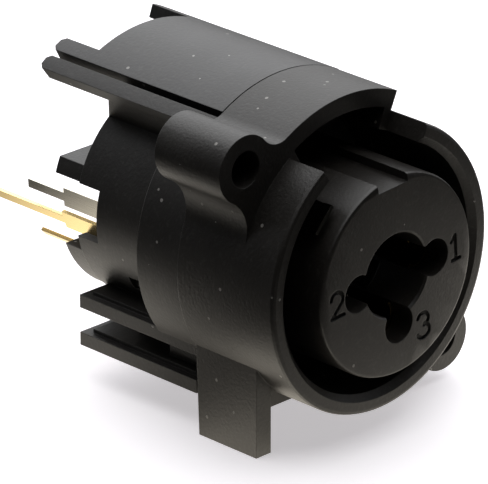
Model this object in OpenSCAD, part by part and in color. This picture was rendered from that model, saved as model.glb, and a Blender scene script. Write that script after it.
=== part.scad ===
// Panel socket for a three-pole round plug or a 6.35 mm jack plug.
// The socket axis runs along Y and the mating face looks toward -Y.
// The origin lies on the socket axis, in the plane where the ears meet the panel.

/* [Ring] */
// Outer radius of the ring and of the front housing
ring_r = 11.15; // [11.05:0.05:11.25]
// Bore radius that takes the shell of the plug
bore_r = 9.65; // [9.55:0.05:9.8]
// How far the ring stands in front of the panel seat
ring_front = 3.55; // [2.5:0.05:4.5]
// Chamfer at the mouth of the ring
mouth_chamfer = 0.5; // [0.3:0.05:0.7]
// Rounding of the outer front edge of the ring
ring_round = 0.3; // [0.1:0.05:0.4]
// Depth of the front housing behind the panel seat
housing_depth = 6.3; // [5.8:0.1:6.4]

/* [Hood] */
// Outer radius of the hood and of the rear cover
hood_r = 12.7; // [12.5:0.05:13]
// Inner radius of the hood
hood_in_r = 11.3; // [11.25:0.05:11.45]
// Depth of the hood and of the screw bosses behind the panel seat
hood_depth = 6.65; // [6.5:0.05:6.9]
// Angle of the right end of the hood
hood_a0 = 66; // [62:1:70]
// Angle of the left end of the window below the hood
window_a1 = 119; // [112:1:121]
// Angle of the left end of the opening in the ring
ring_gap_a1 = 122.5; // [121:0.5:124]

/* [Ears] */
// Sideways distance of each screw hole from the axis
ear_x = 10.4; // [10.2:0.1:10.6]
// Upward or downward distance of each screw hole from the axis
ear_z = 9.8; // [9.7:0.1:10]
// Radius of each screw boss
ear_r = 2.6; // [2.5:0.05:2.7]
// Radius of each screw hole
ear_hole_r = 1.4; // [1.2:0.05:1.6]
// Depth of each screw hole
ear_hole_depth = 6; // [4:0.1:6.2]
// Large fillet from a boss into the round wall
ear_fillet = 3; // [2:0.1:3.5]
// Small fillet from the upper boss into the hood
hood_fillet = 1.8; // [1.4:0.1:2.2]

/* [Foot] */
// Distance of the foot's outer face from the axis
foot_x = 9.3; // [9:0.1:9.6]
// Thickness of the foot
foot_t = 1.5; // [1.3:0.1:1.7]
// Depth of the foot's lower end below the axis
foot_z = 13.3; // [12:0.1:14]
// How much narrower the foot is at its lower end
foot_taper = 0.35; // [0.1:0.05:0.6]
// Lower face of the base, below the axis
base_z = 10.4; // [10.2:0.1:10.6]

/* [Insert] */
// Radius of the insert core
core_r = 7.85; // [7.75:0.05:7.9]
// Front face of the insert, in front of the panel seat
face_y = 5.1; // [4.5:0.05:6]
// Rounding of the front edge of the insert
face_round = 0.3; // [0.2:0.05:0.6]
// Turn of the insert and of its contacts around the axis
turn = 4; // [0:0.5:5]
// Radius of the jack hole
jack_r = 3.25; // [3.2:0.01:3.3]
// Chamfer at the mouth of the jack hole
jack_chamfer = 0.15; // [0.1:0.05:0.3]
// Distance of each pin lobe from the axis
pin_pitch_r = 3.95; // [3.9:0.05:4]
// Radius of each pin lobe
lobe_r = 1.45; // [1.42:0.01:1.5]
// Width of the keyway
key_w = 3; // [2.4:0.1:3.4]
// Height of the keyway floor above the axis
key_floor = 7.05; // [6.6:0.05:7.2]
// Depth of the pin numerals
numeral_depth = 0.15; // [0.1:0.05:0.2]
// Height of the pin numerals
numeral_h = 1.8; // [1.4:0.1:2]
// Line width of the pin numerals
numeral_w = 0.22; // [0.16:0.02:0.28]

/* [Rear body] */
// Radius of the collar
collar_r = 11; // [10.9:0.05:11.1]
// Rear end of the collar
collar_end = 11; // [10.5:0.1:11.5]
// Chamfer at the rear edge of the collar
collar_chamfer = 0.3; // [0.1:0.05:0.5]
// Outer radius of the barrel
barrel_r = 8.7; // [8.6:0.05:8.9]
// Rear end of the barrel
barrel_end = 19.65; // [19:0.05:20.2]
// Half width of the rail plates
rail_half = 8.8; // [8.4:0.1:9]
// Thickness of a rail plate
rail_t = 1.05; // [0.9:0.05:1.2]
// Distance from one rail plate to the next
rail_pitch = 3.05; // [2.9:0.05:3.2]
// Rear end of the rail plates
rail_end = 19.25; // [18.5:0.05:20]
// Rear end of the fingers
finger_end = 24.85; // [23.5:0.05:26]

/* [Contacts] */
// Sheet thickness of the contacts
sheet_t = 0.3; // [0.2:0.05:0.32]
// Width of a tail at its root
blade_w = 1.5; // [1.3:0.1:1.5]
// Width of a tail at its tip
tail_w = 0.7; // [0.5:0.1:0.9]
// Rear end of the longest tails
long_tail_end = 31.2; // [29.5:0.1:32]
// Rear end of the other tails of the side rows
tail_end = 27.6; // [26.5:0.1:28.5]
// Rear end of the short tails
short_tail_end = 24.4; // [24.2:0.1:25.5]

/* [Hidden] */
$fn = 72;
// Clearance between pieces, and how far a cut runs past a face
fit = 0.05;
gap = 0.1;
past = 1;
black = [0.13, 0.13, 0.14];
gold = [0.85, 0.68, 0.32];
tin = [0.75, 0.75, 0.72];
// The ears lie on one diagonal
ear_d = norm([ear_x, ear_z]);
ear_a = atan2(ear_z, ear_x);
// The angle at a round wall of radius r between a boss of radius rb at distance d and the
// start of the fillet rf that joins them
function fillet_angle(r, rb, d, rf) =
    acos((d * d + (r + rf) * (r + rf) - (rb + rf) * (rb + rf)) / (2 * d * (r + rf)));
// The left end of the hood runs a little into its fillet
hood_a1 = 180 - ear_a - fillet_angle(hood_r, ear_r, ear_d, hood_fillet) + 0.3;
// The foot starts inside the round wall, the base plate a little behind the seat
foot_top = 5;
base_front = 1.2;
base_top = 6;
base_half = 7.6;
// Floor of the gap that takes the plug shell, and the flange before it
gap_floor = 8.6;
flange_t = 1.2;
flange_y = gap_floor - flange_t;
key_end = flange_y - past;
// The core ends here and the contact carrier begins
core_end = 15;
// The rear cover begins behind the hood and rests on the collar
cover_y0 = hood_depth + gap;
cover_end = 21.05;
cover_in_r = 11.65;
cover_a0 = 62;
cover_a1 = 118.6;
// Fingers of the cover and of the rear body, as angles
right_finger_a = 70;
left_finger_a = 112.5;
right_finger_end = finger_end + 0.4;
body_finger_a0 = 120.8;
body_finger_a1 = 126.6;
body_finger_r = hood_r - 0.15;
nip_c = 0.24;
web_t = 1;
web_end = barrel_end - 1.6;
// The core of the base, and the raised field on each rail plate
core_half = 7.4;
core_top = 5;
field_in = 0.6;
field_back = 0.8;
field_t = 0.3;
// Notch at each side of the barrel rim, and the tongues of the carrier
notch_y0 = 17.45;
notch_z0 = -1.7;
notch_z1 = 2.45;
notch_x = 6;
side_x = 5.2;
side_z0 = -3.1;
tongue_r = 8.5;
tongue_t = 1.2;
upper_tongue_end = 22.45;
lower_tongue_end = 21.7;
tongue_x = 3.6;
tongue_wall = 1.1;
// Contact directions around the axis
a_tip = 222;
a_ring = 314;
a_sleeve = 90;
a_retain = 102;
a_ground = 137;
// Places of the pin numerals on the face
numeral_x = 6.2;
lower_numeral_x = 2.5;
lower_numeral_z = -4.95;
// Spring slots of the insert and entries of the carrier
slot_half = 1.15;
slot_r = 6;
slot_y0 = -0.5;
entry_r = 4.5;
entry_depth = 1.8;
// The blade of a tail ends here and its tip goes on
blade_end = barrel_end + 4;
tip_start = barrel_end + 3;
// Arm of a pin contact, inside the lobe
arm_r = pin_pitch_r + sqrt(pow(lobe_r - fit, 2) - pow(blade_w / 2, 2)) - sheet_t / 2 - fit;
sleeve_y0 = -3.2;
sleeve_y1 = 6;
bend_end = core_end + 1.3;
// Ground contact and its passage
ground_t = 0.25;
ground_w = 2.4;
ground_half = 0.7;
ground_r0 = 9;
ground_r1 = 9.3;
ground_a0 = a_ground - 6;
// Retention spring and its slot
retain_w = 4.6;
retain_r = 10.35;
retain_t = 0.3;
retain_end = 9.5;

// Tail places: direction, distance, rear end, shift sideways
tails = [[180, 6.1, tail_end, 0], [0, 6.1, tail_end, 0], [270, 6.1, short_tail_end, 0],
    [a_tip, 6.7, tail_end, 0], [a_ring, 6.7, tail_end, 0], [a_sleeve, 5.9, short_tail_end, 0],
    [196, 6.5, long_tail_end, 0], [340, 6.5, long_tail_end, 0], [65, 6.2, short_tail_end, 0]];

// A round bar along the socket axis from y0 to y1
module rod(r, y0, y1) {
    translate([0, y0, 0]) rotate([-90, 0, 0]) cylinder(r = r, h = y1 - y0);
}
// A cone along the socket axis
module cone(r0, r1, y0, y1) {
    translate([0, y0, 0]) rotate([-90, 0, 0]) cylinder(r1 = r0, r2 = r1, h = y1 - y0);
}
// A tube along the socket axis
module tube(ro, ri, y0, y1) {
    difference() {
        rod(ro, y0, y1);
        rod(ri, y0 - past, y1 + past);
    }
}
// A flat outline in the X and Z plane, drawn out along Y
module slab_y(y0, y1) {
    translate([0, y1, 0]) rotate([90, 0, 0]) linear_extrude(y1 - y0) children();
}
// A flat outline in the Y and Z plane, drawn out along X
module slab_x(x0, w) {
    translate([x0, 0, 0]) rotate([90, 0, 90]) linear_extrude(w) children();
}
// A wedge around the axis between two angles
module wedge(a0, a1, y0, y1, r = 20) {
    am = (a0 + a1) / 2;
    slab_y(y0, y1) polygon([[0, 0], [r * cos(a0), r * sin(a0)], [r * cos(am), r * sin(am)] * 1.4,
        [r * cos(a1), r * sin(a1)]]);
}
// A box between two corners
module box(p, q) { translate(p) cube(q - p); }
// Turns a shape that points up so that it points in direction a
module around(a) { rotate([0, 90 - a, 0]) children(); }
// Turns what belongs to the insert
module turned() { rotate([0, -turn, 0]) children(); }
// A cutter that takes the corner off a finger at its rear end y
module nip(a, y) {
    around(a) translate([0, y, cover_in_r - past]) rotate([0, 0, 45])
        box([-nip_c, -nip_c, 0], [nip_c, nip_c, 3]);
}

// The fillet between a round wall of radius r and a boss of radius rb at distance d
// in direction a, on the side given by s
module fillet(r, rb, d, a, rf, s, y0, y1) {
    k = fillet_angle(r, rb, d, rf);
    f = [(r + rf) * cos(a + s * k), (r + rf) * sin(a + s * k)];
    b = [d * cos(a), d * sin(a)];
    difference() {
        slab_y(y0, y1) polygon([[0, 0], f, b]);
        translate([f[0], 0, f[1]]) rod(rf, y0 - past, y1 + past);
    }
}
// A strip bent along points given as height over Y, with its width across X
module strip(pts, t, w) {
    slab_x(-w / 2, w) {
        for (i = [0 : len(pts) - 2]) {
            v = pts[i + 1] - pts[i];
            translate(pts[i]) rotate(atan2(v[1], v[0])) translate([0, -t / 2]) square([norm(v), t]);
        }
        for (i = [1 : len(pts) - 2]) translate(pts[i]) circle(d = 0.94 * t, $fn = 24);
    }
}

module ear(x, z) {
    translate([x, 0, z]) {
        rod(ear_r, 0, hood_depth);
    }
}
module front_housing() color(black) difference() {
    union() {
        // Ring with its rounded front edge
        rotate([-90, 0, 0]) rotate_extrude() polygon([[0, -ring_front],
            [ring_r - ring_round, -ring_front], [ring_r - 0.3 * ring_round, 0.3 * ring_round - ring_front],
            [ring_r, ring_round - ring_front], [ring_r, housing_depth], [0, housing_depth]]);
        // Hood
        intersection() {
            rod(hood_r, 0, hood_depth);
            wedge(hood_a0, hood_a1, -past, hood_depth + past);
        }
        ear(-ear_x, ear_z);
        ear(ear_x, -ear_z);
        fillet(hood_r, ear_r, ear_d, 180 - ear_a, hood_fillet, -1, 0, hood_depth);
        fillet(ring_r, ear_r, ear_d, 180 - ear_a, ear_fillet, 1, 0, housing_depth);
        fillet(ring_r, ear_r, ear_d, -ear_a, ear_fillet, -1, 0, housing_depth);
        fillet(ring_r, ear_r, ear_d, -ear_a, ear_fillet, 1, 0, housing_depth);
        // Foot
        slab_x(-foot_x, foot_t) polygon([[0, -foot_z], [housing_depth - foot_taper, -foot_z],
            [housing_depth, -foot_top], [0, -foot_top]]);
        // Base plate
        box([-foot_x + foot_t / 2, base_front, -base_z], [base_half, housing_depth, -base_top]);
    }
    rod(bore_r, -ring_front - past, housing_depth + past);
    // Nothing but the hood and the bosses reaches behind the housing
    rod(hood_in_r, housing_depth, hood_depth + past);
    cone(bore_r + mouth_chamfer + past, bore_r, -ring_front - past, -ring_front + mouth_chamfer);
    // Opening in the ring and the window below the hood
    difference() {
        wedge(hood_a0 - 1, ring_gap_a1, -ring_front - past, 0);
        rod(bore_r - past, -ring_front - 2 * past, past);
    }
    intersection() {
        rod(hood_in_r, -past, hood_depth + past);
        wedge(hood_a0 + 4, window_a1, -past, hood_depth + past);
    }
    for (s = [-1, 1]) translate([s * ear_x, 0, -s * ear_z]) rod(ear_hole_r, -past, ear_hole_depth);
}

// Strokes of the pin numerals, cut into the face, given in parts of the numeral height
module stroke(x0, z0, x1, z1) {
    v = [x1 - x0, z1 - z0] * numeral_h;
    translate([x0 * numeral_h, 0, z0 * numeral_h]) rotate([0, -atan2(v[1], v[0]), 0])
        box([-numeral_w / 2, -face_y - past, -numeral_w / 2],
            [norm(v) + numeral_w / 2, numeral_depth - face_y, numeral_w / 2]);
}
module numeral_1() {
    stroke(0, -0.5, 0, 0.5);
    stroke(0, 0.5, -0.2, 0.3);
}
module numeral_2() {
    stroke(-0.3, 0.5, 0.3, 0.5);
    stroke(0.3, 0.5, 0.3, 0.05);
    stroke(0.3, 0.05, -0.3, -0.5);
    stroke(-0.3, -0.5, 0.35, -0.5);
}
module numeral_3() {
    stroke(-0.3, 0.5, 0.3, 0.5);
    stroke(0.3, 0.5, 0.3, -0.5);
    stroke(-0.15, 0, 0.3, 0);
    stroke(-0.3, -0.5, 0.3, -0.5);
}
module socket_insert() color(black) turned() difference() {
    union() {
        rotate([-90, 0, 0]) rotate_extrude() polygon([[0, -face_y],
            [core_r - face_round, -face_y], [core_r - 0.3 * face_round, 0.3 * face_round - face_y],
            [core_r, face_round - face_y], [core_r, core_end], [0, core_end]]);
        rod(bore_r - fit, flange_y, gap_floor);
    }
    rod(jack_r, -face_y - past, core_end + past);
    cone(jack_r + 2 * jack_chamfer, jack_r, -face_y - jack_chamfer, -face_y + jack_chamfer);
    // One lobe for each pin, and the web between the lower lobe and the jack hole
    for (a = [0, 180, 270]) around(a) translate([0, 0, pin_pitch_r])
        rod(lobe_r, -face_y - past, core_end + past);
    around(270) box([-0.75 * lobe_r, -face_y - past, jack_r / 2],
        [0.75 * lobe_r, core_end + past, pin_pitch_r]);
    box([-key_w / 2, -face_y - past, key_floor], [key_w / 2, key_end, core_r + past]);
    // Slots for the three jack springs
    for (a = [a_tip, a_ring, a_sleeve]) around(a)
        box([-slot_half, slot_y0, 0], [slot_half, core_end + past, slot_r]);
    // Passage for the ground contact in the flange
    around(270 - turn) box([-ground_half - gap, flange_y - past, ground_r0 - gap],
        [ground_half + gap, gap_floor + past, ground_r1 + 2 * gap]);
    translate([numeral_x, 0, 0]) numeral_1();
    translate([-numeral_x, 0, 0]) numeral_2();
    translate([lower_numeral_x, 0, lower_numeral_z]) numeral_3();
}

module rear_body() color(black) difference() {
    union() {
        // Collar and barrel
        rotate([-90, 0, 0]) rotate_extrude() polygon([[0, housing_depth], [collar_r, housing_depth],
            [collar_r, collar_end - collar_chamfer], [collar_r - collar_chamfer, collar_end],
            [0, collar_end]]);
        rod(barrel_r, collar_end - past, barrel_end);
        // A long finger at each side of the cover, on a web
        for (m = [0, 1]) mirror([m, 0, 0]) {
            around((body_finger_a0 + body_finger_a1) / 2) slab_x(-web_t / 2, web_t)
                polygon([[cover_y0, barrel_r - 0.5], [barrel_end, barrel_r - 0.5],
                    [barrel_end, barrel_r], [web_end, hood_in_r + 0.2], [cover_y0, hood_in_r + 0.2]]);
            difference() {
                intersection() {
                    tube(body_finger_r, hood_in_r, cover_y0, finger_end);
                    wedge(body_finger_a0, body_finger_a1, cover_y0 - past, finger_end + past);
                }
                nip(body_finger_a0, finger_end);
                nip(body_finger_a1, finger_end);
            }
        }
        // Base with its rail plates and the raised field on each
        box([-core_half, housing_depth, -base_z], [core_half, rail_end - 2, -core_top]);
        for (z = [-base_z, rail_pitch - base_z]) {
            box([-rail_half, cover_y0, z], [rail_half, rail_end, z + rail_t]);
            box([field_in - rail_half, cover_y0 + fit, z + rail_t / 2],
                [rail_half - field_in, rail_end - field_back, z + rail_t + field_t]);
        }
    }
    rod(bore_r, housing_depth - past, gap_floor);
    rod(core_r + fit, housing_depth, barrel_end + past);
    // Notch in the rim of the barrel at each side
    for (m = [0, 1]) mirror([m, 0, 0])
        box([-barrel_r - past, notch_y0, notch_z0], [-notch_x, barrel_end + past, notch_z1]);
    // Slot for the retention spring
    around(a_retain) box([-retain_w / 2 - fit, housing_depth - past, retain_r - retain_t / 2 - fit],
        [retain_w / 2 + fit, retain_end + gap, retain_r + retain_t / 2 + fit]);
    // Passage for the ground contact
    around(270) box([-ground_half - gap, flange_y, ground_r0 - fit],
        [ground_half + gap, rail_end + past, ground_r1 + fit]);
}

module top_cover() color(black) difference() {
    union() {
        intersection() {
            union() {
                tube(hood_r, cover_in_r, cover_y0, cover_end);
                tube(cover_in_r + gap, collar_r, cover_y0, collar_end - collar_chamfer - gap);
            }
            wedge(cover_a0, cover_a1, cover_y0 - past, cover_end + past);
        }
        intersection() {
            tube(hood_r, cover_in_r, cover_end - past, finger_end);
            wedge(left_finger_a, cover_a1, cover_y0, finger_end + past);
        }
        intersection() {
            tube(hood_r, cover_in_r, cover_end - past, right_finger_end);
            wedge(cover_a0, right_finger_a, cover_y0, right_finger_end + past);
        }
    }
    nip(cover_a1, finger_end);
    nip(left_finger_a, finger_end);
    nip(cover_a0, right_finger_end);
    nip(right_finger_a, right_finger_end);
}

module contact_carrier() color(black) difference() {
    union() {
        rod(core_r, core_end, barrel_end);
        // Two upper tongues and one lower tongue
        intersection() {
            rod(tongue_r, barrel_end, upper_tongue_end);
            for (m = [0, 1]) mirror([m, 0, 0]) box([-barrel_r, barrel_end, notch_z1],
                [-tongue_x, upper_tongue_end, notch_z1 + tongue_t]);
        }
        intersection() {
            rod(tongue_r, barrel_end, lower_tongue_end);
            box([-barrel_r, barrel_end, -barrel_r], [barrel_r, lower_tongue_end, side_z0]);
        }
    }
    rod(jack_r, core_end - past, upper_tongue_end + past);
    // Cut back at each side, behind the notch of the barrel
    for (m = [0, 1]) mirror([m, 0, 0])
        box([-barrel_r, notch_y0, side_z0], [-side_x, upper_tongue_end + past, notch_z1]);
    // Hollow of the lower tongue
    intersection() {
        rod(tongue_r - tongue_wall, barrel_end + past / 2, upper_tongue_end + past);
        box([-barrel_r, barrel_end + past / 2, -barrel_r], [barrel_r, upper_tongue_end + past,
            side_z0 - tongue_t]);
    }
    // Slots for the tails, and entries for the six contacts that reach into the insert
    turned() {
        for (p = tails) tail_slot(p);
        for (i = [0 : 5]) entry(tails[i]);
    }
}
module tail_slot(p) {
    around(p[0]) translate([p[3], 0, 0]) box([-blade_w / 2 - fit, core_end - past, p[1] - sheet_t / 2 - fit],
        [blade_w / 2 + fit, upper_tongue_end + past, p[1] + sheet_t / 2 + fit]);
}
module entry(p) {
    w = blade_w / 2 + fit + abs(p[3]);
    around(p[0]) box([-w, core_end - past, entry_r], [w, core_end + entry_depth, p[1] + sheet_t / 2 + fit]);
}
module tail(p, y0) {
    around(p[0]) translate([p[3], 0, 0]) {
        box([-blade_w / 2, y0, p[1] - sheet_t / 2], [blade_w / 2, blade_end, p[1] + sheet_t / 2]);
        box([-tail_w / 2, tip_start, p[1] - sheet_t / 2], [tail_w / 2, p[2], p[1] + sheet_t / 2]);
    }
}
// One pin contact: a sleeve open toward the jack hole, an arm and a tail
module xlr_contact(i) {
    p = tails[i];
    difference() {
        around(p[0]) union() {
            translate([0, 0, pin_pitch_r]) tube(lobe_r - fit, lobe_r - fit - sheet_t, sleeve_y0, sleeve_y1);
            strip([[sleeve_y1 - past, arm_r], [core_end + 0.1, arm_r], [bend_end, p[1]]], sheet_t, blade_w);
        }
        rod(jack_r + gap, sleeve_y0 - past, core_end);
    }
    tail(p, core_end + past);
}
module xlr_contact_1() color(gold) turned() xlr_contact(1);
module xlr_contact_2() color(tin) turned() xlr_contact(0);
module xlr_contact_3() color(gold) turned() xlr_contact(2);

// One jack spring: it bends into the jack hole and runs back to its tail
module jack_spring(i, y_touch) {
    p = tails[i];
    around(p[0]) strip([[y_touch - 1.2, 4.2], [y_touch, 3.1], [y_touch + 1.6, 4.75],
        [core_end + 0.3, 5], [bend_end, p[1]]], sheet_t, blade_w);
    tail(p, core_end + past);
}
module jack_tip_spring() color(gold) turned() jack_spring(3, 12);
module jack_ring_spring() color(gold) turned() jack_spring(4, 8);
module jack_sleeve_spring() color(gold) turned() jack_spring(5, 2);
module jack_tip_switch() color(gold) turned() tail(tails[6], core_end + past / 2);
module jack_ring_switch() color(gold) turned() tail(tails[7], core_end + past / 2);
module jack_sleeve_switch() color(gold) turned() tail(tails[8], core_end + past / 2);

// The leaf stands in the plug gap, its arc runs round to the tail below the core
module shell_ground_contact() color(tin) {
    around(a_ground) strip([[-3.9, 8.6], [-2.8, 8.3], [0.6, 8.6], [4, 9.35], [flange_y - gap, 9.35]],
        ground_t, ground_w);
    intersection() {
        tube(bore_r - gap, ground_r0 - gap, flange_y - ground_t, flange_y);
        union() {
            wedge(ground_a0, 210, 0, gap_floor);
            wedge(209, 274, 0, gap_floor);
        }
    }
    around(270) {
        box([-ground_half, flange_y - ground_t, ground_r0], [ground_half, rail_end - 1, ground_r1]);
        box([-ground_half / 2, rail_end - 2, ground_r0], [ground_half / 2, rail_end + 3, ground_r1]);
    }
}
module retention_spring() color(tin) around(a_retain)
    strip([[retain_end, retain_r], [6, retain_r], [4.6, retain_r - 0.4], [3.9, retain_r + 0.1]],
        retain_t, retain_w);

front_housing();
socket_insert();
rear_body();
top_cover();
contact_carrier();
xlr_contact_1();
xlr_contact_2();
xlr_contact_3();
jack_tip_spring();
jack_ring_spring();
jack_sleeve_spring();
jack_tip_switch();
jack_ring_switch();
jack_sleeve_switch();
shell_ground_contact();
retention_spring();
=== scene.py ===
import math
import bmesh
import bpy
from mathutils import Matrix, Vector


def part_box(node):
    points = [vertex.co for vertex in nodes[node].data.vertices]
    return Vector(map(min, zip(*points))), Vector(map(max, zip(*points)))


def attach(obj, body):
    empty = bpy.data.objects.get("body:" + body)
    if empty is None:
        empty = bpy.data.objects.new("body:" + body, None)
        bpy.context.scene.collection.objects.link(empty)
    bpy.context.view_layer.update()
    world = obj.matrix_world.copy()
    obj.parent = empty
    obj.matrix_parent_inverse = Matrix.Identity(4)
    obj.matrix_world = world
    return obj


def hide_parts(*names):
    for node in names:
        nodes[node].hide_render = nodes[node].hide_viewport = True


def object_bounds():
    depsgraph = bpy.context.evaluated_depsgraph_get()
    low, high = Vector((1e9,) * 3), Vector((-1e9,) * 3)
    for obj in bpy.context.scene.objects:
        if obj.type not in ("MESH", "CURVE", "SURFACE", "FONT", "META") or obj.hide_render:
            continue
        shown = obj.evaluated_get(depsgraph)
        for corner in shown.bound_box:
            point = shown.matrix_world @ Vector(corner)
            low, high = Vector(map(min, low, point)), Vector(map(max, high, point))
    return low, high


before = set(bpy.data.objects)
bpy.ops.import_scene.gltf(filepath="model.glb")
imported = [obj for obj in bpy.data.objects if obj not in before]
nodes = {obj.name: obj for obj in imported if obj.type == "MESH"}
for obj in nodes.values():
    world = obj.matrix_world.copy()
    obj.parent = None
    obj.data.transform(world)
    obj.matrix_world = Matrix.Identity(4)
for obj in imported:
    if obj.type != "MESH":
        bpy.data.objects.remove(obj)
cad_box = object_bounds()
scene = bpy.context.scene

# View of the photograph
# A long lens looks down on the socket from its front left, so that the ring, the hood and
# the rear tails all show. Parallel edges stay nearly parallel.
view_azimuth = math.radians(-44.7)
view_elevation = math.radians(22.9)
view_distance = 0.400
view_target = Vector((-0.006557, 0.004041, 0.001856))
toward_camera = Vector((math.sin(view_azimuth) * math.cos(view_elevation),
                        -math.cos(view_azimuth) * math.cos(view_elevation),
                        math.sin(view_elevation)))
camera_data = bpy.data.cameras.new("photo_camera")
camera_data.sensor_width = 36
camera_data.lens = 405.7
camera_data.clip_start = 0.01
camera_data.clip_end = 10
camera = bpy.data.objects.new("photo_camera", camera_data)
camera.location = view_target + view_distance * toward_camera
camera.rotation_euler = (math.pi / 2 - view_elevation, 0, view_azimuth)
scene.collection.objects.link(camera)
scene.camera = camera
scene.view_settings.view_transform = "Standard"


# Front housing
# The ring, the hood, the ears and the foot are one moulding of glass-filled black plastic.
# Its mould was spark eroded, so the skin has a fine satin grain, and a little pale dust
# sits on it.
class Sock:
    """One output of a shader node, so that sums and products of it can be written out."""

    def __init__(self, tree, socket):
        self.tree = tree
        self.socket = socket

    def node(self, kind, settings=None, output=0, **inputs):
        made = self.tree.nodes.new(kind)
        for name, value in (settings or {}).items():
            if name == "stops":
                ramp = made.color_ramp
                while len(ramp.elements) < len(value):
                    ramp.elements.new(0.5)
                for element, (place, colour) in zip(ramp.elements, value):
                    element.position = place
                    element.color = (*colour, 1)
            else:
                setattr(made, name, value)
        for name, value in inputs.items():
            key = int(name[1:]) if name[0] == "i" and name[1:].isdigit() else name.replace("_", " ")
            if isinstance(value, Sock):
                self.tree.links.new(value.socket, made.inputs[key])
            else:
                made.inputs[key].default_value = value
        return Sock(self.tree, made.outputs[output])

    def math(self, operation, first, second=0.0, clamp=False):
        settings = {"operation": operation, "use_clamp": clamp}
        return self.node("ShaderNodeMath", settings, i0=first, i1=second)

    def __add__(self, other):
        return self.math("ADD", self, other)

    def __sub__(self, other):
        return self.math("SUBTRACT", self, other)

    def __mul__(self, other):
        return self.math("MULTIPLY", self, other)

    def __radd__(self, other):
        return self.math("ADD", other, self)

    def __rsub__(self, other):
        return self.math("SUBTRACT", other, self)

    def __rmul__(self, other):
        return self.math("MULTIPLY", other, self)

    def ramp(self, low, high):
        """0 below low, 1 above high, and a straight rise between them."""
        return self.node("ShaderNodeMapRange", i0=self, i1=low, i2=high)


def new_material(name):
    material = bpy.data.materials.new(name)
    material.use_nodes = True
    tree = material.node_tree
    tree.nodes.clear()
    place = Sock(tree, tree.nodes.new("ShaderNodeTexCoord").outputs["Object"])
    return material, place


def finish_material(material, shader):
    output = shader.tree.nodes.new("ShaderNodeOutputMaterial")
    shader.tree.links.new(shader.socket, output.inputs["Surface"])
    return material


def moulded_plastic(name, colour, roughness, grain_size, grain_depth, dust_start):
    """Black plastic with a fine grain, cloudy sheen and specks of dust.

    Dust lies where a slow noise is above dust_start.
    """
    speck_grey = (0.34, 0.33, 0.31, 1)
    edge_radius = 0.00009
    material, place = new_material(name)
    grain = place.node("ShaderNodeTexNoise", Vector=place, Scale=1 / grain_size, Detail=2.0)
    cloud = place.node("ShaderNodeTexNoise", Vector=place, Scale=170.0, Detail=4.0)
    mottle = place.node("ShaderNodeTexNoise", Vector=place, Scale=2600.0, Detail=2.0)
    cell = place.node("ShaderNodeTexVoronoi", {"feature": "F1"}, Vector=place, Scale=760.0)
    choice = place.node("ShaderNodeTexNoise", Vector=place, Scale=400.0, Detail=0.0)
    speck = place.math("LESS_THAN", cell, 0.10) * place.math("GREATER_THAN", choice, dust_start)
    film = cloud.ramp(0.45, 0.75) * 0.03 + mottle.ramp(0.55, 0.80) * 0.05
    tint = place.node("ShaderNodeMix", {"data_type": "RGBA"}, output=2,
                      i0=place.math("MAXIMUM", speck * 0.8, film), i6=(*colour, 1), i7=speck_grey)
    soft_edge = place.node("ShaderNodeBevel", {"samples": 4}, Radius=edge_radius)
    bump = place.node("ShaderNodeBump", Height=grain, Strength=0.6, Distance=grain_depth,
                      Normal=soft_edge)
    shader = place.node("ShaderNodeBsdfPrincipled", Base_Color=tint,
                        Roughness=(cloud - 0.5) * 0.14 + roughness, Normal=bump, IOR=1.5)
    return finish_material(material, shader)


def dress(name, material):
    for slot in nodes[name].material_slots:
        slot.material = material


housing_black = moulded_plastic("housing_black", (0.0115, 0.0100, 0.0085), 0.46, 0.00024, 0.00004, 0.53)
dress("front_housing", housing_black)

# Insert of the socket
# The core is a separate moulding from a slightly finer mould. It is pressed into the ring
# from behind and holds the lobes of the three pins, the jack hole and the keyway. The pin
# numerals are sunk in its face.
insert_black = moulded_plastic("insert_black", (0.0120, 0.0104, 0.0088), 0.42, 0.00022, 0.000025, 0.68)
# The groove floors of the sunk numerals get a near-black copy of the plastic: painted shade in the grooves.
numeral_shade_black = moulded_plastic("numeral_shade_black", (0.0010, 0.0008, 0.0006), 0.60, 0.00028, 0.00004, 0.95)
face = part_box("socket_insert")[0][1]
numeral_height = 0.00195
numeral_width = 0.00034
numeral_depth = 0.00018
insert_turn = math.radians(4)


def prism(outline, start, end):
    """A closed solid with this outline of (x, z) points, from start to end along Y."""
    mesh = bpy.data.meshes.new("prism")
    count = len(outline)
    points = [(x, y, z) for y in (start, end) for x, z in outline]
    sides = [(i, (i + 1) % count, count + (i + 1) % count, count + i) for i in range(count)]
    mesh.from_pydata(points, [], [tuple(range(count))[::-1], tuple(range(count, 2 * count))] + sides)
    shape = bmesh.new()
    shape.from_mesh(mesh)
    bmesh.ops.recalc_face_normals(shape, faces=shape.faces)
    shape.to_mesh(mesh)
    shape.free()
    made = bpy.data.objects.new("prism", mesh)
    scene.collection.objects.link(made)
    return made


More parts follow.
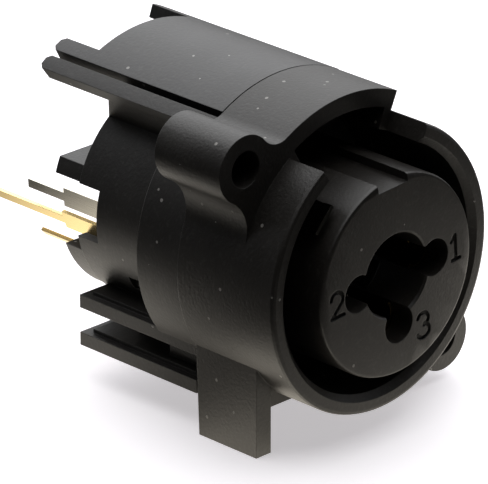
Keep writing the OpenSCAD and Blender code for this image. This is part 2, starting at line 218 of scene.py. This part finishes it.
def recut(node, name, steps):
    """A copy of a CAD node's mesh, joined with or cut by each prism in turn, in its place."""
    piece = bpy.data.objects.new(name, nodes[node].data.copy())
    scene.collection.objects.link(piece)
    shape = bmesh.new()
    shape.from_mesh(piece.data)
    bmesh.ops.remove_doubles(shape, verts=shape.verts, dist=0.0000002)
    shape.to_mesh(piece.data)
    shape.free()
    for operation, tool in steps:
        change = piece.modifiers.new("recut", "BOOLEAN")
        change.operation = operation
        change.object = tool
        change.solver = "EXACT"
    bpy.context.view_layer.update()
    graph = bpy.context.evaluated_depsgraph_get()
    done = bpy.data.meshes.new_from_object(piece.evaluated_get(graph))
    piece.modifiers.clear()
    piece.data = done
    for operation, tool in steps:
        bpy.data.objects.remove(tool)
    shape = bmesh.new()
    shape.from_mesh(done)
    bmesh.ops.remove_doubles(shape, verts=shape.verts, dist=0.0000005)
    for part in shape.faces:
        part.smooth = True
    for edge in shape.edges:
        edge.smooth = len(edge.link_faces) == 2 and edge.calc_face_angle(0) < math.radians(28)
    shape.to_mesh(done)
    shape.free()
    even = piece.modifiers.new("even_shading", "WEIGHTED_NORMAL")
    even.keep_sharp = True
    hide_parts(node)
    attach(piece, "root")
    return piece


def ribbon(points, width):
    """The outline of a line of this width along the points, with round ends."""
    left, right = [], []
    for i, (x, z) in enumerate(points):
        before, after = points[max(i - 1, 0)], points[min(i + 1, len(points) - 1)]
        length = math.hypot(after[0] - before[0], after[1] - before[1])
        nx, nz = -(after[1] - before[1]) / length, (after[0] - before[0]) / length
        left.append((x + nx * width / 2, z + nz * width / 2))
        right.append((x - nx * width / 2, z - nz * width / 2))
    ends = []
    for middle, start in ((points[-1], left[-1]), (points[0], right[0])):
        turn = math.atan2(start[1] - middle[1], start[0] - middle[0])
        ends.append([(middle[0] + width / 2 * math.cos(turn - math.pi * k / 6),
                      middle[1] + width / 2 * math.sin(turn - math.pi * k / 6)) for k in range(1, 6)])
    return left + ends[0] + right[::-1] + ends[1]


def bowl(x, z, radius_x, radius_z, start, end, steps=14):
    turns = [math.radians(start + (end - start) * k / steps) for k in range(steps + 1)]
    return [(x + radius_x * math.cos(t), z + radius_z * math.sin(t)) for t in turns]


numeral_lines = {
    "1": ((0.0062, 0.0), [[(0.0, -0.5), (0.0, 0.5)], [(0.0, 0.5), (-0.22, 0.27)], [(-0.20, -0.5), (0.20, -0.5)]]),
    "2": ((-0.0062, 0.0), [bowl(0.0, 0.20, 0.31, 0.30, 170, -38) + [(-0.31, -0.5)], [(-0.31, -0.5), (0.34, -0.5)]]),
    "3": ((0.0025, -0.00495), [bowl(0.0, 0.24, 0.29, 0.26, 160, -80), bowl(0.0, -0.24, 0.33, 0.28, 80, -160)]),
}
fillers, cutters = [], []
for (x, z), lines in numeral_lines.values():
    def turned(u, v):
        return (u * math.cos(insert_turn) - v * math.sin(insert_turn),
                v * math.cos(insert_turn) + u * math.sin(insert_turn))
    plate = [turned(x + u, z + v) for u, v in ((-0.0008, -0.00112), (0.0008, -0.00112),
                                               (0.0008, 0.00112), (-0.0008, 0.00112))]
    fillers.append(("UNION", prism(plate, face, face + 0.0005)))
    for line in lines:
        path = [turned(x + u * numeral_height, z + v * numeral_height) for u, v in line]
        cutters.append(("DIFFERENCE", prism(ribbon(path, numeral_width), face - 0.001, face + numeral_depth)))
insert = recut("socket_insert", "insert_with_numerals", fillers + cutters)
insert.data.materials.clear()
insert.data.materials.append(insert_black)
insert.data.materials.append(numeral_shade_black)
# Faces on the numeral groove floors take the second material, the painted shade.
for part in insert.data.polygons:
    x, y, z = part.center
    u, v = (x * math.cos(insert_turn) + z * math.sin(insert_turn),
            z * math.cos(insert_turn) - x * math.sin(insert_turn))
    near = any(abs(u - a) < 0.0009 and abs(v - c) < 0.0013 for (a, c), lines in numeral_lines.values())
    part.material_index = int(near and face + 0.00001 < y < face + 0.0003)

# Rear mouldings
# The barrel with its base, the arched cover and the contact block come from other moulds.
# The cover has the smoother skin. They snap together behind the front housing.
rear_black = moulded_plastic("rear_black", (0.0125, 0.0115, 0.0105), 0.45, 0.00024, 0.00003, 0.58)
cover_black = moulded_plastic("cover_black", (0.0130, 0.0125, 0.0130), 0.40, 0.00028, 0.00003, 0.62)
dress("contact_carrier", rear_black)
dress("top_cover", cover_black)
barrel_r = 0.0087
collar_end = 0.011
base_end = 0.0174
shoulder_top = -0.0049
field_top = -0.0060
base_cuts = []
for side in (-1, 1):
    arc = [(side * math.sqrt(barrel_r ** 2 - z ** 2), z)
           for z in [shoulder_top + (field_top - shoulder_top) * k / 8 for k in range(9)]]
    beside_barrel = arc + [(side * 0.0078, field_top), (side * 0.0078, shoulder_top)]
    between_plates = [(side * 0.0046, -0.00905), (side * 0.0078, -0.00905),
                      (side * 0.0078, -0.00735), (side * 0.0046, -0.00735)]
    pocket = [(side * 0.0070, -0.0049), (side * 0.0090, -0.0049), (side * 0.0090, -0.0039), (side * 0.0070, -0.0039)]
    base_cuts += [("DIFFERENCE", prism(beside_barrel, collar_end, base_end)),
                  ("DIFFERENCE", prism(between_plates, collar_end, base_end)),
                  ("DIFFERENCE", prism(pocket, collar_end, 0.0150))]
rear = recut("rear_body", "rear_body_relieved", base_cuts)
rear.data.materials.clear()
rear.data.materials.append(rear_black)


# Contacts
# The pin contacts and jack springs are stamped from bronze sheet with thin gold plating.
# Pin contact 2, the ground leaf and the retention spring are tin plated.
def plated_metal(name, colour, inside_shade_colour, roughness):
    """Plated sheet, bright on the tails and painted dark inside the body, in front of y = 13 mm: painted shade."""
    shade_end = 0.0130
    lit_start = 0.0155
    material, place = new_material(name)
    # Painted shade: the plating turns dark toward the front, inside the body.
    along = place.node("ShaderNodeSeparateXYZ", output=1, Vector=place)
    shaded_plating = place.node("ShaderNodeMix", {"data_type": "RGBA"}, output=2,
                         i0=along.ramp(shade_end, lit_start), i6=(*inside_shade_colour, 1), i7=(*colour, 1))
    wear = place.node("ShaderNodeTexNoise", Vector=place, Scale=900.0, Detail=3.0)
    long_marks = place.node("ShaderNodeMapping", Vector=place, Scale=(9000.0, 400.0, 9000.0))
    marks = place.node("ShaderNodeTexNoise", Vector=long_marks, Scale=1.0, Detail=1.0)
    soft_edge = place.node("ShaderNodeBevel", {"samples": 4}, Radius=0.00005)
    bump = place.node("ShaderNodeBump", Height=marks, Strength=0.15, Distance=0.00001, Normal=soft_edge)
    shader = place.node("ShaderNodeBsdfPrincipled", Base_Color=shaded_plating, Metallic=1.0,
                        Roughness=(wear - 0.5) * 0.1 + roughness, Normal=bump)
    return finish_material(material, shader)


# The second colour of each plating is the painted shade on the parts inside the body.
gold_plate = plated_metal("gold_plate", (0.86, 0.67, 0.32), (0.10, 0.07, 0.03), 0.24)
tin_plate = plated_metal("tin_plate", (0.78, 0.75, 0.66), (0.09, 0.088, 0.08), 0.22)
for name in ("xlr_contact_1", "xlr_contact_3", "jack_tip_spring", "jack_ring_spring", "jack_sleeve_spring",
             "jack_tip_switch", "jack_ring_switch", "jack_sleeve_switch"):
    dress(name, gold_plate)
for name in ("xlr_contact_2", "shell_ground_contact", "retention_spring"):
    dress(name, tin_plate)

# Floor and studio
# The socket stands on its foot on a flat sheet of white paper, which looks evenly white to the camera. For all other
# rays the paper carries painted light: a painted pool of light close to the socket, a painted bright band behind it
# and a painted glow under the foot. The room on the camera's side is dark.
floor_z = cad_box[0][2]
floor_half = 0.6
floor_mesh = bpy.data.meshes.new("paper_floor")
corners = [(-floor_half, -floor_half, floor_z), (floor_half, -floor_half, floor_z),
           (floor_half, floor_half, floor_z), (-floor_half, floor_half, floor_z)]
floor_mesh.from_pydata(corners, [], [(0, 1, 2, 3)])
floor = bpy.data.objects.new("paper_floor", floor_mesh)
scene.collection.objects.link(floor)
away = (-math.sin(view_azimuth), math.cos(view_azimuth), 0.0)
pool_start = 0.004
pool_end = 0.027
foot_glow_centre = (-0.0110, 0.002, 0.0)
foot_glow_start = 0.003
foot_glow_end = 0.0085
back_band_start = 0.030
back_band_end = 0.050
paper, place = new_material("white_paper")
flat = place.node("ShaderNodeVectorMath", {"operation": "MULTIPLY"}, i0=place, i1=(1.0, 1.0, 0.0))
reach = place.node("ShaderNodeVectorMath", {"operation": "LENGTH"}, output=1, i0=flat)
foot_reach = place.node("ShaderNodeVectorMath", {"operation": "DISTANCE"}, output=1, i0=flat, i1=foot_glow_centre)
behind = place.node("ShaderNodeVectorMath", {"operation": "DOT_PRODUCT"}, output=1, i0=place, i1=away)
# Painted light on the paper: a pool near the socket, a band behind it and a glow at the foot.
near = 1 - reach.ramp(pool_start, pool_end)
painted_foot_glow = 1 - foot_reach.ramp(foot_glow_start, foot_glow_end)
painted_back_band = behind.ramp(-0.003, 0.005) * (1 - reach.ramp(back_band_start, back_band_end))
painted_light = place.math("MAXIMUM", near, painted_back_band)
camera_ray = place.node("ShaderNodeLightPath", output=0)
mirror_ray = place.math("MAXIMUM", place.node("ShaderNodeLightPath", output=3),
                        place.node("ShaderNodeLightPath", output=6))
# Painted light in the paper's colour: dark far off, pale in the painted pool and band.
painted_paper_tint = place.node("ShaderNodeMix", {"data_type": "RGBA"}, output=2, i0=painted_light,
                        i6=(0.05, 0.048, 0.045, 1), i7=(0.88, 0.84, 0.78, 1))
# Painted glow of the pool and the foot, seen only in glossy and transmission reflections.
painted_paper_glow = place.node("ShaderNodeMix", {"data_type": "RGBA"}, output=2, i0=mirror_ray * (painted_light * 0.3 + painted_foot_glow * 0.45),
                        i6=(0.0, 0.0, 0.0, 1), i7=(1.0, 0.92, 0.78, 1))
unseen_paper = place.node("ShaderNodeBsdfPrincipled", Base_Color=painted_paper_tint, Roughness=1.0,
                          Specular_IOR_Level=0.0, Emission_Color=painted_paper_glow, Emission_Strength=3.0)
white_paper = place.node("ShaderNodeBsdfPrincipled", Base_Color=(0.98, 0.96, 0.98, 1), Roughness=1.0,
                         Specular_IOR_Level=0.0, Emission_Color=(1.0, 0.97, 1.0, 1), Emission_Strength=0.47)
shown = place.node("ShaderNodeMixShader", i0=camera_ray, i1=unseen_paper, i2=white_paper)
floor_mesh.materials.append(finish_material(paper, shown))

world = bpy.data.worlds.new("studio")
scene.world = world
world.use_nodes = True
world.node_tree.nodes.clear()
view = Sock(world.node_tree, world.node_tree.nodes.new("ShaderNodeTexCoord").outputs["Generated"])
cove = view.node("ShaderNodeVectorMath", {"operation": "DOT_PRODUCT"}, output=1, i0=view, i1=away)
bright = cove.ramp(0.1, 0.8)
room_tint = view.node("ShaderNodeMix", {"data_type": "RGBA"}, output=2, i0=bright,
                      i6=(0.030, 0.028, 0.025, 1), i7=(0.86, 0.87, 0.94, 1))
room = view.node("ShaderNodeBackground", Color=room_tint, Strength=1.0)
white = view.node("ShaderNodeBackground", Color=(1, 1, 1, 1), Strength=1.0)
world_mirrored = view.math("MAXIMUM", view.node("ShaderNodeLightPath", output=3),
                           view.node("ShaderNodeLightPath", output=6))
world_seen = view.math("MAXIMUM", view.node("ShaderNodeLightPath", output=0), world_mirrored * bright)
world_shown = view.node("ShaderNodeMixShader", i0=world_seen, i1=room, i2=white)
world_out = world.node_tree.nodes.new("ShaderNodeOutputWorld")
world.node_tree.links.new(world_shown.socket, world_out.inputs["Surface"])


# Lamps
# One wide soft box hangs above and one stands low behind the socket and rakes over its top. Each is turned toward
# the socket.
def soft_box(name, azimuth, elevation, distance, width, height, radiance, colour):
    data = bpy.data.lights.new(name, "AREA")
    data.shape = "RECTANGLE"
    data.size = width
    data.size_y = height
    data.energy = radiance * math.pi * width * height
    data.color = colour
    lamp = bpy.data.objects.new(name, data)
    turn, rise = math.radians(azimuth), math.radians(elevation)
    lamp.location = distance * Vector((math.sin(turn) * math.cos(rise), -math.cos(turn) * math.cos(rise),
                                       math.sin(rise)))
    lamp.rotation_euler = (-lamp.location).to_track_quat("-Z", "Y").to_euler()
    scene.collection.objects.link(lamp)


soft_box("top_box", 135, 80, 0.55, 0.8, 0.8, 1.9, (1.0, 1.0, 1.0))
soft_box("cove_box", 135, 30, 0.6, 0.8, 0.26, 1.3, (0.97, 0.98, 1.0))
